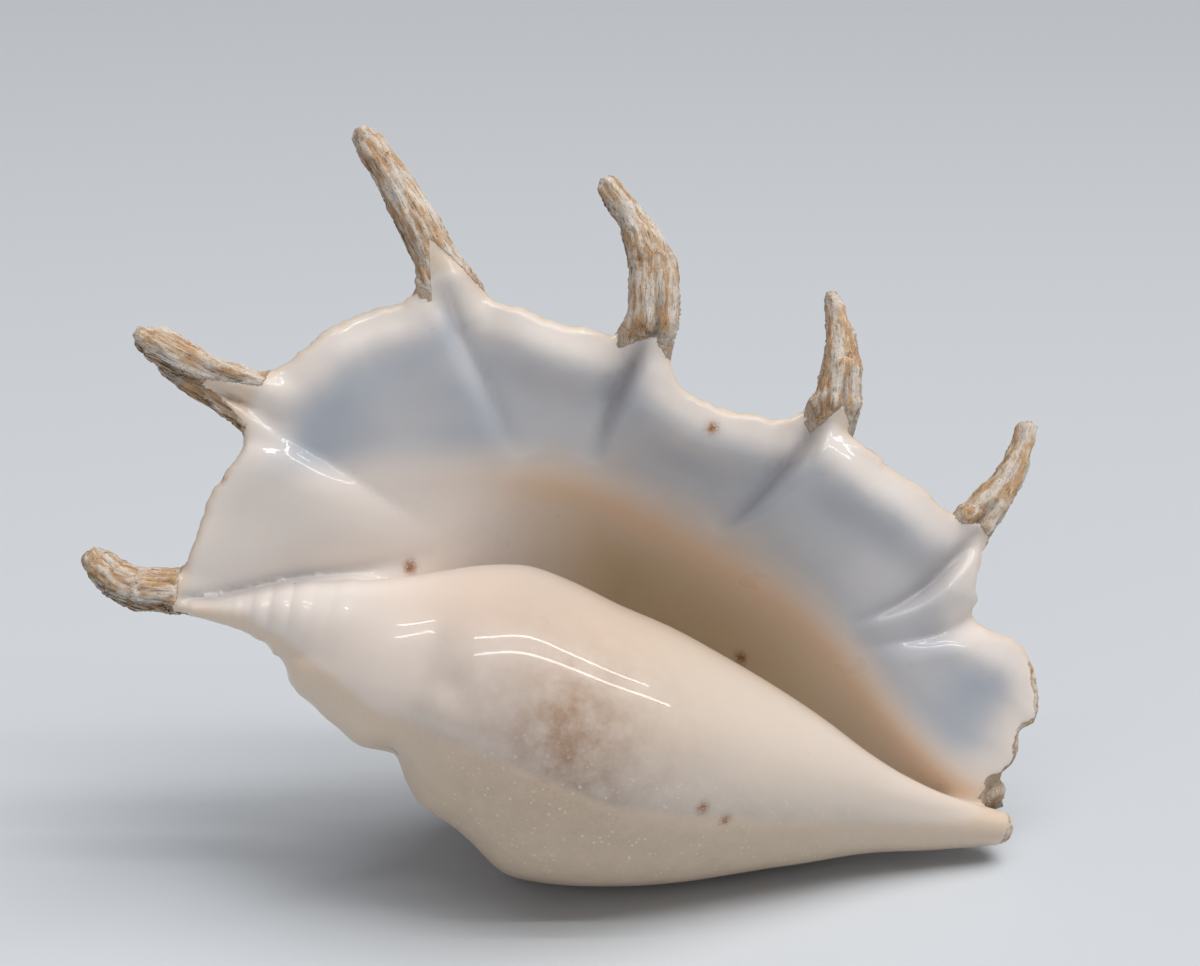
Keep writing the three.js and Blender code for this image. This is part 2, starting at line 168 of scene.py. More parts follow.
DENTS = [  # place, reach, height
    ((48, -4, 33), 6.5, 1.3), ((51, 5, 35), 5.0, -1.0), ((48, -13, 30), 4.0, -0.8)]
body_top = smooth_curve(BODY_TOP)
body_front = smooth_curve(BODY_FRONT)
body_under = smooth_curve(BODY_UNDER)


def body(along, up, out):
    radius = np.hypot(up, out) + 1e-6
    cosine, sine = up / radius, out / radius
    side = np.where(out > 0, 1.0, BODY_BACK_SHARE) * body_front(along)
    girth = np.where(cosine > 0, body_top(along), body_under(along)) * cosine**2 + side * sine**2
    for ring, width, height in SUTURES:
        off = along - ring - SUTURE_SLANT * up
        girth = girth + height * np.exp(-((off / width) ** 2)) * (1 - step(8, 30, up))
    for (a, b, c), reach, height in DENTS:
        off = (along - a) ** 2 + (up - b) ** 2 + (out - c) ** 2
        girth = girth + height * np.exp(-off / reach**2)
    return (radius - girth) * SLOPE_SHARE


# The lip. Fully grown, the tube's edge flares into one broad sheet, pushed out and folded behind each
# finger. Its front is porcelain, its thin edge curls a little, and it joins the wall inside the mouth.

WALL = 6.0
MOUTH_SWELL = 1.35          # how much wider than the last turn's wall the mouth's hollow is
MOUTH_CANAL = 228.0
LIP_ANGLE = 120             # how far the lip's turn is past the underside, in degrees
FLOOR_SHARE = 0.35          # how far below the axis the hollow's floor lies, as a share of its depth
FLARE_SLOPE = 0.866
MOUTH_GIRTH = [  # along, radius of the hollow
    (0, 0), (20, 9.5), (44, 20), (60, 31), (75, 39.5), (84, 44.5), (94, 47.5), (104, 47), (122, 44.8),
    (143, 39), (159, 33), (172, 27), (199, 18), (223, 12.4), (235, 9), (246, 5)]
FLARE_LINE = [  # along, how far up the hollow turns outwards
    (-40, 34), (0, 48), (30, 60), (60, 68), (77, 70), (92, 68.5), (106, 65.2), (128, 58.8), (155, 49),
    (173, 37.5), (191, 23), (216, 8), (240, 4)]
LIP_EDGE = [  # along, up
    (-33, 6), (-32.5, 26), (-30, 44.5), (-24.5, 62), (-27.5, 69), (-26, 76.5), (-17, 88.5), (-8, 100.5),
    (4, 109.5), (12, 114), (18, 126), (28, 127), (37, 122.5), (50, 121), (66, 120), (77, 121), (86, 127),
    (94, 123), (100, 112.5), (111, 108), (125, 107.5), (138, 108.5), (148.5, 117), (157, 108.5),
    (170, 102.5), (183.5, 98), (195, 92.5), (205, 93.5), (210, 86), (211.5, 74), (214, 68), (212.5, 62.5),
    (219.5, 59.5), (228.5, 57.5), (237.5, 50), (240, 41), (241, 34.5), (236.5, 30.5), (237, 22),
    (233, 14.5), (228.5, 9.5), (229, 4)]
LIP_ROOT = [  # the sheet's lower edge, buried in the body
    (222, -4), (190, -9), (150, -15), (105, -20), (60, -13), (30, -9), (12, -1), (0, 4), (-12, 8), (-24, 8)]
# Each fold: its crease's path, depth, reach of the gentle side, roll (+ is left of the path), width of the
# wall, and strength at its start.
FOLDS = [
    ([(-45, 75), (-34, 72.5), (-18, 66.5), (2, 60.5), (22, 54), (42, 48)], 2.6, 15.0, -2.4, 12.0, 0.4),
    ([(17, 133), (22, 123), (31, 110), (40, 99), (50, 87), (60, 76)], 3.8, 11.0, -2.6, 8.0, 0.5),
    ([(87.5, 121), (86.5, 113), (84.5, 101.5), (83.5, 92), (84, 80)], 4.4, 8.0, 3.6, 4.5, 0.5),
    ([(148.5, 114), (146.5, 104), (141.5, 92), (134, 78), (127, 68)], 4.2, 8.0, 3.4, 4.5, 0.5),
    ([(206, 88), (201, 78), (193, 66), (183, 57), (172, 50)], 3.8, 7.0, 2.8, 5.0, 0.5),
    ([(-34, 9.5), (-24, 11.5), (-12, 17), (0, 23), (20, 31), (42, 41)], 3.0, 10.0, -1.0, 5.0, 0.6),
    ([(215, 63.5), (207, 57.5), (198, 52.5), (187, 48), (176, 43)], 3.2, 8.0, 1.6, 8.0, 1.0)]
FOLD_SPLINE = 5             # points per stretch of a crease's path
ROLL_REACH = 12.0
SHARP_WALL = 4.5            # creases with a wider wall than this get a fainter line of painted shade
LIP_THICKNESS, LIP_THICKENING = 4.5, 3.0
SWAG_HEIGHT, CURL_DEPTH = 4.5, -4.0
RIM_CHIPS = [(7.0, 0.9), (2.6, 0.55), (1.2, 0.3)]     # size and height of the rim's unevenness
TABLE_PITCH = 0.5
flare_line = smooth_curve(FLARE_LINE)
mouth_girth = smooth_curve(MOUTH_GIRTH)


def mouth_depth(along):
    lip_turn = 2.0 ** (LIP_ANGLE / 360)
    return soft_max(MOUTH_SWELL * mouth_girth(turn_scale(along, lip_turn, MOUTH_CANAL)) - WALL, 3.5, 12.0)


def plain_lip(along, up):
    """Front of the lip before it is folded: a hollow behind the body that flares out above it."""
    flare, depth = flare_line(along), mouth_depth(along)
    across = np.clip(up * FLARE_SLOPE / flare, -0.97, 0.97)
    hollow = -depth * (1 + 0.55 * np.minimum(up, 0) / flare) * np.sqrt(1 - across**2)
    slope = 1.5 * depth / flare
    reach = 0.58 * depth / slope
    return np.where(up < flare, hollow,
                    -0.5 * depth + slope * reach * (1 - np.exp(-np.maximum(up - flare, 0) / reach)))


def through(points, count):
    """Catmull-Rom points along an open line."""
    p = np.array(points, float)
    p = np.vstack([p[:1], p, p[-1:]])
    u = (np.arange(count) / count)[:, None]
    parts = [0.5 * (2 * b + (c - a) * u + (2 * a - 5 * b + 4 * c - d) * u**2
                    + (3 * b - a - 3 * c + d) * u**3)
             for a, b, c, d in zip(p, p[1:], p[2:], p[3:])]
    return np.vstack(parts + [p[-1:]])


def from_line(x, y, line, share=None):
    """Distance to a line, the side of it, and a value carried along it."""
    nearest, side, carried = np.full(x.shape, 1e9), np.zeros(x.shape), np.zeros(x.shape)
    share = np.linspace(0, 1, len(line)) if share is None else share
    for (ax, ay), (bx, by), first, last in zip(line, line[1:], share, share[1:]):
        ex, ey = bx - ax, by - ay
        t = np.clip(((x - ax) * ex + (y - ay) * ey) / (ex * ex + ey * ey), 0, 1)
        distance = np.hypot(x - ax - t * ex, y - ay - t * ey)
        closer = distance < nearest
        nearest[closer] = distance[closer]
        side[closer] = np.sign(ex * (y - ay) - ey * (x - ax))[closer]
        carried[closer] = (first + (last - first) * t)[closer]
    return nearest, side, carried


CELLS = 32
lattice = np.random.default_rng(5).random((CELLS, CELLS, CELLS)) * 2 - 1


def unevenness(points, size):
    """Soft random bumps between -1 and 1, about size mm across; the same for the same point every time."""
    cells = points / size
    low = np.floor(cells).astype(int)
    near = cells - low
    near = near * near * (3 - 2 * near)
    low = low % CELLS
    high = (low + 1) % CELLS
    total = 0
    for i, wx in ((low[0], 1 - near[0]), (high[0], near[0])):
        for j, wy in ((low[1], 1 - near[1]), (high[1], near[1])):
            for k, wz in ((low[2], 1 - near[2]), (high[2], near[2])):
                total = total + lattice[i, j, k] * wx * wy * wz
    return total


def inside_outline(x, y, outline):
    within = np.zeros(x.shape, bool)
    for (ax, ay), (bx, by) in zip(outline, np.roll(outline, -1, 0)):
        if ay != by:
            within ^= ((ay > y) != (by > y)) & (x < (bx - ax) * (y - ay) / (by - ay) + ax)
    return within


grid_along = np.arange(-75, 256, TABLE_PITCH)
grid_up = np.arange(-62, 176, TABLE_PITCH)
sheet_along, sheet_up = np.meshgrid(grid_along, grid_up, indexing="ij")
outline = np.vstack([through(LIP_EDGE, 4), np.array(LIP_ROOT, float)])
outside = from_line(sheet_along, sheet_up, np.vstack([outline, outline[:1]]))[0]
outside[inside_outline(sheet_along, sheet_up, outline)] *= -1
inward = -outside
sheet_place = np.stack([sheet_along, sheet_up, np.zeros(outside.shape)])
worn = step(30, 60, sheet_up) + step(205, 225, sheet_along)
for size, height in RIM_CHIPS:
    outside += height * np.minimum(worn + 0.4, 1) * unevenness(sheet_place, size)
folded, painted_crease_shade = np.zeros(outside.shape), np.zeros(outside.shape)
clear = np.ones(outside.shape)
for path, depth, reach, roll, wall_width, start in FOLDS:
    strength = [start] + [1.0] * (len(path) - 3) + [0.6, 0.0]
    stations = np.arange(FOLD_SPLINE * len(path) - FOLD_SPLINE + 1) / FOLD_SPLINE
    distance, side, carried = from_line(sheet_along, sheet_up, through(path, FOLD_SPLINE),
                                        np.interp(stations, range(len(path)), strength))
    across = distance * side * np.sign(roll)
    wall = np.clip(across / wall_width, 0, 1)
    crest = (depth + abs(roll)) * (1 - (1 - wall) ** 2) - depth
    crest = crest * np.exp(-((np.maximum(across - wall_width, 0) / ROLL_REACH) ** 2))
    folded += carried * np.where(across < 0, -depth * np.exp(-((distance / reach) ** 2)), crest)
    clear *= 1 - 0.9 * np.exp(-((distance / 12) ** 2)) * np.minimum(carried * 2, 1)
    # painted shade: a dark line along the bottom of each crease, laid on the lip's colour
    line = carried * np.exp(-(((across + 0.8) / 2.6) ** 2))
    painted_crease_shade = np.maximum(painted_crease_shade, min(SHARP_WALL / wall_width, 1) ** 2 * line)
panel = clear * step(28, 50, sheet_along) * (1 - step(200, 215, sheet_along))
swag = SWAG_HEIGHT * panel * (1 - step(13, 25, inward)) * step(40, 60, sheet_up)
curl = CURL_DEPTH * (1 - step(0, 13, inward)) * step(20, 60, sheet_up)
plain_face = plain_lip(sheet_along, sheet_up)
thickness = LIP_THICKNESS + LIP_THICKENING * step(2, 40, inward)


def fold_lip(share):
    """The lip's tables with its folds and rolls raised to a share of their full height."""
    face = plain_face + share * (folded + swag + curl)
    tilt = np.gradient(face, TABLE_PITCH)
    steep = np.sqrt(1 + np.minimum(tilt[0] ** 2 + tilt[1] ** 2, 6))
    return np.stack([face, thickness, outside, steep, painted_crease_shade])


lip_tables = fold_lip(1)


def read_tables(along, up):
    """The lip's tables at any point, by smooth interpolation."""
    x = np.clip((along - grid_along[0]) / TABLE_PITCH, 1, len(grid_along) - 3.001)
    y = np.clip((up - grid_up[0]) / TABLE_PITCH, 1, len(grid_up) - 3.001)
    i, j = x.astype(int), y.astype(int)

    def weights(u):
        return ((-u + 2 * u**2 - u**3) / 2, (2 - 5 * u**2 + 3 * u**3) / 2,
                (u + 4 * u**2 - 3 * u**3) / 2, (u**3 - u**2) / 2)

    total = 0
    for di, wi in enumerate(weights(x - i)):
        for dj, wj in enumerate(weights(y - j)):
            total = total + wi * wj * lip_tables[:, i + di - 1, j + dj - 1]
    return total


# The six fingers. Each is the lip's edge drawn out into a long closed gutter, filled in with age.
# They are blunt, bent back and up, and covered with a chalky crust that runs lengthwise like bark.

# Points of each middle line and the radius there. 0 to 6 are the fingers, the second in two strands, 7 is
# the canal's stub and 8 the wedge that carries the first finger.
FINGERS = [
    [(24, 6, -18, 9), (-2, 11, -18, 7.5), (-17, 12, -17, 6.8), (-32, 11.5, -12, 6.4),
     (-44, 9.5, -7.5, 6.1), (-50.5, 10.5, -8, 5.6), (-56, 13, -9.5, 4.8), (-59.5, 15, -11, 3.3)],
    [(-13.5, 76, -8, 4.3), (-27, 77.5, -6, 4.3), (-38, 78.5, -6, 4.7), (-47.5, 80.5, -8, 5.2),
     (-56, 83, -10.5, 5.2), (-60.5, 84, -12, 3.7)],
    [(-12.5, 63, -6, 2.4), (-29.5, 68.5, -6, 2.6), (-37.5, 71, -7, 2.4), (-46, 74, -9, 2.4),
     (-52.5, 76, -11, 1.8)],
    [(37, 107, -13, 5.6), (30, 115.5, -8, 7.4), (23.5, 123.5, -5, 7.7), (17.5, 131, -5, 6.2),
     (11.5, 138, -6, 5.9), (5, 145, -8, 5.4), (-2.5, 153.5, -11, 4.7), (-8.5, 159, -14, 4.4),
     (-11, 161.5, -15, 3.5)],
    [(90, 110.5, -14, 5), (89, 119, -8, 7.2), (89, 127.5, -4, 7.8), (87.5, 135.5, -4, 7.8),
     (85.5, 143.5, -5, 7.2), (80.5, 151.5, -6.5, 5.6), (75, 158, -8.5, 4.4), (69.5, 163, -11, 3.6),
     (66.5, 166, -12.5, 3)],
    [(153.5, 99.5, -14, 4.8), (153.5, 108.5, -8, 6.7), (152.5, 117.5, -3.5, 7.3), (151.5, 128, -4, 6),
     (149.5, 137.5, -6, 4.3), (146.5, 146, -8.5, 2.9), (144, 150, -10, 1.9)],
    [(201, 74.5, -14, 4.5), (204.5, 84, -10, 5.8), (206.5, 92.5, -6.5, 6.1), (210, 99, -6.5, 5.5),
     (213.5, 105.5, -7.5, 4.5), (216, 112.5, -9, 3.9), (217.5, 119.5, -10.5, 3.2), (218, 125, -12, 2.9)],
    [(222, 4, -9, 4), (231.5, 9.5, -7, 3.4)],
    [(40, 14, 3, 17), (20, 13, 0, 14.5), (8, 12.3, -1.5, 12), (2, 11.7, -2, 10.2), (-5, 11, -2.5, 7.8),
     (-13, 9.8, -3, 5), (-26, 7.4, -4, 1.6)]]
FIRST_FINGER, STUB = 0, 7
CRUST_STARTS = [  # for each, the lines it is crusted beyond (a point, the way out) and its flanks' lead
    ([((-33, 12), (-1, -0.15))], 0.0),
    ([((-40, 76), (-0.13, 1)), ((-23, 80), (-1, 0.3))], 0.0),
    ([((-40, 75), (-0.6, -1)), ((-25, 66), (-1, 0))], 0.0),
    ([((14.5, 134.5), (-0.65, 0.76))], 2.4),
    ([((86, 123), (0.1, 1))], 0.8),
    ([((150, 116.5), (0, 1))], 1.4),
    ([((205, 91.5), (0.1, 1))], 0.6),
    ([((226, 9), (1, 0))], 0.0),
    ([((-99, 0), (-1, 0))], 0.0)]


def finger_links():
    for number, finger in enumerate(FINGERS):
        chain = np.array(finger, float)
        lengths = np.linalg.norm(np.diff(chain[:, :3], axis=0), axis=1)
        for start, end, run in zip(chain, chain[1:], np.cumsum(lengths) - lengths):
            yield number, start, end, run


def fingers(along, up, out):
    place = np.stack([along, up, out])
    nearest = [None] * len(FINGERS)
    for number, start, end, run in finger_links():
        line = end[:3] - start[:3]
        t = np.clip(np.tensordot(line, place - start[:3, None], 1) / (line @ line), 0, 1)
        distance = np.linalg.norm(place - start[:3, None] - t * line[:, None], axis=0)
        distance = distance - start[3] - (end[3] - start[3]) * t
        nearest[number] = distance if run == 0 else np.minimum(nearest[number], distance)
    whole = nearest[0]
    for distance in nearest[1:]:
        whole = soft_min(whole, distance, 2.5)
    return whole


def bark_axes(place):
    """For each point: its place along and across the nearest finger, how far off that is, and which."""
    best, which = np.full(place.shape[1], 1e9), np.zeros(place.shape[1], int)
    grain = np.zeros_like(place)
    for number, start, end, run in finger_links():
        line = end[:3] - start[:3]
        length = np.linalg.norm(line)
        line = line / length
        offset = place - start[:3, None]
        t = np.clip(line @ offset, 0, length)
        distance = np.linalg.norm(offset - line[:, None] * t, axis=0) - start[3]
        side = np.cross(line, (0, 0, 1.0))
        side /= np.linalg.norm(side)
        facing = np.cross(side, line)
        closer = distance < best
        best[closer] = distance[closer]
        which[closer] = number
        grain[:, closer] = np.stack([run + line @ offset, side @ offset, facing @ offset])[:, closer]
    return grain, best, which


# The skin. All of it is one grown piece, so the rough solid is copied, given an even skin of small
# faces, and drawn onto the smooth shape that whorls, body, lip and fingers make together.

AXIS = np.array([0.958175, 0.064482, -0.278823])
UP = np.array([0.236838, 0.368248, 0.899056])
FRONT = np.array([0.160649, -0.927489, 0.337575])
APEX_PLACE = np.array([-90.91, -22.83, 77.0])
SKIN_PITCH = 0.00165
TO_PART = np.stack([AXIS, UP, FRONT], axis=1)


def surface(place):
    """How far outside the whole shell a point lies, in mm; negative in the lime."""
    along, up, out = place
    face, thick, beyond, slant, _ = read_tables(along, up)
    lip = soft_max((out - face) / slant, (face - thick - out) / slant, 2.0)
    lip = soft_max(lip, beyond, 3.5)
    middle = face - thick / 2
    hollow = soft_max(middle - out, -FLOOR_SHARE * mouth_depth(along) - up, 4.0)
    turns = soft_max(coil(along, up, out), -hollow, 1.0)
    turns = soft_max(soft_max(turns, WORN_APEX - along, 3), along - MOST_ALONG, 2)
    pillar = soft_max(soft_max(body(along, up, out), -along, 8), along - MOST_ALONG, 2)
    prongs = fingers(along, up, out)
    return soft_min(soft_min(soft_min(turns, lip, 3.0), pillar, 5.0), prongs, 4.5)


def draw_onto(place, steps, limit=1.5, probe=0.2):
    """Moves each point towards the smooth shape along the field's slope, at most limit mm a step."""
    for _ in range(steps):
        here = surface(place)
        slope = np.stack([(surface(place + axis[:, None] * probe) - here) / probe for axis in np.eye(3)])
        move = here * slope / np.maximum((slope**2).sum(0), 0.15)
        size = np.linalg.norm(move, axis=0)
        place = place - move * np.minimum(1, limit / np.maximum(size, 1e-9))
    return place


def even_out(place, edges, normals, share=0.5):
    """Slides each point along the surface towards the middle of its neighbours."""
    ends = np.concatenate([edges, edges[:, ::-1]])
    count = np.maximum(np.bincount(ends[:, 0], minlength=place.shape[1]), 1)
    middle = np.stack([np.bincount(ends[:, 0], row[ends[:, 1]], place.shape[1]) for row in place]) / count
    pull = middle - place
    return place + share * (pull - normals * (pull * normals).sum(0))


def read_mesh(mesh):
    flat = np.empty(len(mesh.vertices) * 3)
    mesh.vertices.foreach_get("co", flat)
    part = flat.reshape(-1, 3).T * 1000
    mesh.vertices.foreach_get("normal", flat)
    edges = np.empty(len(mesh.edges) * 2, int)
    mesh.edges.foreach_get("vertices", edges)
    normals = TO_PART.T @ flat.reshape(-1, 3).T
    return TO_PART.T @ (part - APEX_PLACE[:, None]), normals, edges.reshape(-1, 2)


def write_mesh(mesh, place):
    part = TO_PART @ place + APEX_PLACE[:, None]
    part[2] = np.maximum(part[2], 0)
    mesh.vertices.foreach_set("co", (part.T / 1000).ravel())
    mesh.update()


bpy.ops.object.select_all(action="DESELECT")
conch = frame["nodes"]["shell"].copy()
conch.data = frame["nodes"]["shell"].data.copy()
conch.name = conch.data.name = "conch"
conch.parent = None
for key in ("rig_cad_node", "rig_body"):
    if key in conch:
        del conch[key]
bpy.context.collection.objects.link(conch)
conch.select_set(True)
bpy.context.view_layer.objects.active = conch
bpy.ops.object.mode_set(mode="EDIT")
bpy.ops.mesh.select_all(action="SELECT")
bpy.ops.mesh.remove_doubles(threshold=1e-6)
bpy.ops.object.mode_set(mode="OBJECT")
evener = conch.modifiers.new("even_faces", "REMESH")
evener.mode = "VOXEL"
evener.voxel_size = SKIN_PITCH
bpy.ops.object.modifier_apply(modifier=evener.name)

place, normals, edges = read_mesh(conch.data)
for share in (0.6, 0.8, 1, 1, 1):
    lip_tables = fold_lip(share)
    place = draw_onto(place, 1)
    write_mesh(conch.data, place)
    place, normals, edges = read_mesh(conch.data)
    place = even_out(place, edges, normals)
place = draw_onto(place, 2, 0.8)
write_mesh(conch.data, place)

# The crust. Behind, and all over the fingers, the shell is raw: chalky layers of lime weathered into
# lengthwise fibres on the fingers, and into low cords and growth lines on the back.

GUTTER_DEPTH, GUTTER_WIDTH = 1.3, 1.5
CRUST_STEP = 0.5              # how far the porcelain stands over the crust
FIBRES = [(1.5, 13.0, 0.6), (0.8, 6.0, 0.42)]        # width, length, height
UNDER_EDGE = 0.25             # how far behind the underside's middle the glaze ends, a share of its girth
NOWHERE = -50.0               # for a point that a limit has nothing to do with
CORD_PITCH, CORD_HEIGHT = 8.5, 0.45


def crust_reach(place, grain, beyond_finger, which):
    """How many mm a point lies inside the crusted part, negative on the porcelain."""
    along, up, out = place
    face, thick, beyond, _, _ = read_tables(along, up)
    hollow_floor = -FLOOR_SHARE * mouth_depth(along)
    under = -UNDER_EDGE * body_under(along)
    edge = under + (face - thick * 0.5 - under) * step(-8, 0, up - hollow_floor)
    behind = edge - out
    on_finger = np.full(len(along), NOWHERE)
    for number, (limits, flank) in enumerate(CRUST_STARTS):
        here = which == number
        past = [((along[here] - a) * da + (up[here] - b) * db) / math.hypot(da, db)
                for (a, b), (da, db) in limits]
        on_finger[here] = np.min(past, axis=0) + flank * np.abs(grain[1, here])
    near = np.where(beyond_finger < 3, on_finger, NOWHERE)
    worn_lobe = (beyond + 3.0 - 8 * (1 - step(216, 228, along)) - 8 * step(50, 60, up)
                 - 60 * (1 - step(6, 12, up)) + 1.2 * unevenness(place, 4.0))
    worn_tip = np.where(up < 12, along - (MOST_ALONG - 2), NOWHERE)
    return np.max([behind, near, worn_lobe, worn_tip], axis=0)


grain, beyond_finger, which = bark_axes(place)
rough = beyond_finger < 1.5
bpy.ops.object.mode_set(mode="EDIT")
bpy.ops.mesh.select_all(action="SELECT")
bpy.ops.mesh.normals_make_consistent(inside=False)
bpy.ops.mesh.select_all(action="DESELECT")
bpy.ops.mesh.select_mode(type="FACE")
bpy.ops.object.mode_set(mode="OBJECT")
corners = np.empty(len(conch.data.loops), int)
conch.data.loops.foreach_get("vertex_index", corners)
starts = np.empty(len(conch.data.polygons), int)
conch.data.polygons.foreach_get("loop_start", starts)
on_fingers = np.logical_and.reduceat(rough[corners], starts)
conch.data.polygons.foreach_set("select", on_fingers)
bpy.ops.object.mode_set(mode="EDIT")
bpy.ops.mesh.subdivide(number_cuts=1)
bpy.ops.object.mode_set(mode="OBJECT")

place, normals, edges = read_mesh(conch.data)
place = even_out(place, edges, normals, 0.3)
place = draw_onto(place, 2, 0.8)
write_mesh(conch.data, place)
place, normals, edges = read_mesh(conch.data)
grain, beyond_finger, which = bark_axes(place)
raw = crust_reach(place, grain, beyond_finger, which)
crusted = step(-0.4, 0.8, raw + 0.6 * unevenness(place, 2.0))
finger_share = 1 - step(1, 6, beyond_finger)
bark = 0
for width, length, height in FIBRES:
    lines = unevenness(grain / np.array([length, width, width])[:, None] + 7, 1.0)
    bark = bark + height * (1 - 2.2 * np.abs(lines))
gutter = -GUTTER_DEPTH * np.exp(-((grain[1] / GUTTER_WIDTH) ** 2)) * step(0, 2, grain[2])
has_gutter = (which != FIRST_FINGER) * (which < STUB)
gutter = gutter * has_gutter * (1 - step(22, 40, grain[0]))
angle = back_angle(place[1], place[2])
girth = np.hypot(place[1], place[2])
cords = CORD_HEIGHT * np.cos((place[0] + 6 * unevenness(place, 30.0)) * 2 * np.pi / CORD_PITCH)
ring_place = np.stack([place[0] / 30, np.radians(angle) * 14, girth / 30])
growth = 0.35 * unevenness(ring_place, 1.0)
pitted = 0.35 * unevenness(place, 3.5) + 0.8 * unevenness(place, 14.0)
back_relief = (cords + growth + pitted) * step(0, 6, raw)
relief = crusted * (finger_share * (bark + gutter) + (1 - finger_share) * (back_relief - CRUST_STEP))
place = place + normals * relief
write_mesh(conch.data, place)
bpy.ops.object.shade_smooth()
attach(conch, "root")
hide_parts("shell")

# The finish. The front is porcelain: off-white, warm towards the body, lavender grey with painted
# reflection and shade in the bowl, painted shade in the creases, tan where it turns into the mouth, olive
# brown deep inside, with etch specks and painted shade below. The crust is chalk, stained tan and rust,
# with painted shade in its crevices, its gutters and the fingers' undersides.

WHITE, PEACH = (0.80, 0.71, 0.64), (0.78, 0.58, 0.44)
# the bowl's colour is the shell's own lavender grey darkened and blued as painted reflection and shade
DULL, LILAC_SHADE_AND_REFLECTION, SHADE = (0.48, 0.40, 0.34), (0.25, 0.33, 0.43), (0.26, 0.24, 0.25)
TAN, OLIVE = (0.88, 0.60, 0.36), (0.80, 0.64, 0.43)
# the underside's colour is matt etched lime darkened further as painted shade
PLUM, ETCHED_AND_SHADED, SPECK = (0.40, 0.23, 0.13), (0.32, 0.29, 0.27), (0.86, 0.84, 0.80)
EDGE_TAN = (0.72, 0.55, 0.38)
CHALK, PALE_CHALK, BARK = (0.76, 0.66, 0.56), (0.86, 0.78, 0.68), (0.60, 0.35, 0.16)
# the near-black colour serves real dirt spots and painted shade in the crust's crevices, gutters and
# undersides
RUST, DIRT_AND_SHADE = (0.34, 0.15, 0.06), (0.05, 0.035, 0.025)
STAINS = [  # centre in mm, radius
    ((34.3, 35.2, -11.6), 2.0), ((149.8, 31.2, -38.6), 1.8), ((131, -12.8, 38.3), 1.7),
    ((139.3, -15.1, 34.4), 1.5), ((114.5, 99.5, -0.1), 1.8), ((-28.1, 47.6, -3.9), 1.2)]
DIRT_SPOTS = [
    ((36.9, -10.6, 19.6), 1.1), ((35.9, -13.4, 16.5), 0.8), ((40, -20, 10.5), 1.2), ((41.5, -19, 12), 0.9)]


def spot(centre, reach):
    """A soft round patch: 1 at its centre, fading over its reach."""
    offset = (place - np.array(centre, float)[:, None]) / np.array(reach, float).reshape(-1, 1)
    return np.exp(-(offset**2).sum(0))


def paint(name, values):
    layer = conch.data.attributes.new(name, "FLOAT", "POINT")
    layer.data.foreach_set("value", np.asarray(values, np.float32))


def paint_places(name, places):
    layer = conch.data.attributes.new(name, "FLOAT_VECTOR", "POINT")
    layer.data.foreach_set("vector", places.T.astype(np.float32).ravel())


def patches(centres):
    return np.clip(sum(spot(centre, (radius,)) for centre, radius in centres), 0, 1)


along, up, out = place
face, thick, beyond, _, painted_crease_shade_here = read_tables(along, up)
on_body = np.maximum(1 - step(-1.5, 3, body(along, up, out)),
                     1 - step(-2, 4, up + FLOOR_SHARE * mouth_depth(along)))
in_front = step(-1, 1, out - (face - thick / 2))
lip_share = (1 - on_body) * in_front
past_flare = up - flare_line(along)
mouth = (lip_share * (1 - step(-10, 2, past_flare + 2 * unevenness(place, 16.0)))
         * step(48, 100, along + 0.3 * up - 20))
deep = mouth * (1 - step(0, 26, up - body_top(along) - 4))
tan_line = lip_share * np.exp(-((past_flare / 6.5) ** 2)) * step(45, 75, along)
# the bowl: partly the shell's own lavender grey, partly painted blue reflection and shade
bowl_tint_reflection_shade = lip_share * step(2, 18, past_flare) * step(3, 20, -beyond)
paint("raw", np.clip(raw, -20, 20))
paint("rim", np.clip(-beyond, -3, 60))
paint("mouth", mouth * (0.75 + 0.25 * deep) * (1 - 0.45 * step(140, 205, along)))
paint("tan_line", tan_line)
paint("bowl_tint_reflection_shade", bowl_tint_reflection_shade * (0.75 + 0.25 * unevenness(place, 22.0)))
paint("warm", on_body * in_front * np.clip(spot((75, 34, 28), (60, 14, 26)) * 0.9 + 0.25, 0, 1))
paint("plum", on_body * (0.6 * spot((86, 2, 46), (13, 19, 18))
                         + 0.45 * spot((92, -16, 43), (18, 14, 18))
                         + 0.5 * spot((84, 2, 42), (38, 26, 30))))
# painted shade along the lip's creases
paint("painted_crease_shade", painted_crease_shade_here * lip_share)
paint("dull", on_body * step(28, 75, along) * (0.75 + 0.25 * unevenness(place, 18.0)))
# painted shade on the fingers' sides that face down
paint("finger_underside_shade", finger_share * step(0.1, 0.8, -normals[1]))
paint("matt", on_body * (1 - step(-30, 0, up)))
# the body's underside: matt etched lime, darkened as painted shade on the side facing down
paint("under", on_body * (1 - step(-30, 8, up)) * step(25, 70, along))
paint("stain", patches(STAINS))
paint("dirt", patches(DIRT_SPOTS))
paint("gutter", np.exp(-((grain[1] / 1.2) ** 2)) * step(0, 2, grain[2]) * has_gutter
      * (1 - step(16, 34, grain[0])) * crusted * finger_share)
round_coil = np.stack([np.radians(angle) * 60, along, girth])
paint_places("fibre", finger_share * grain + (1 - finger_share) * round_coil)
paint_places("place", place)


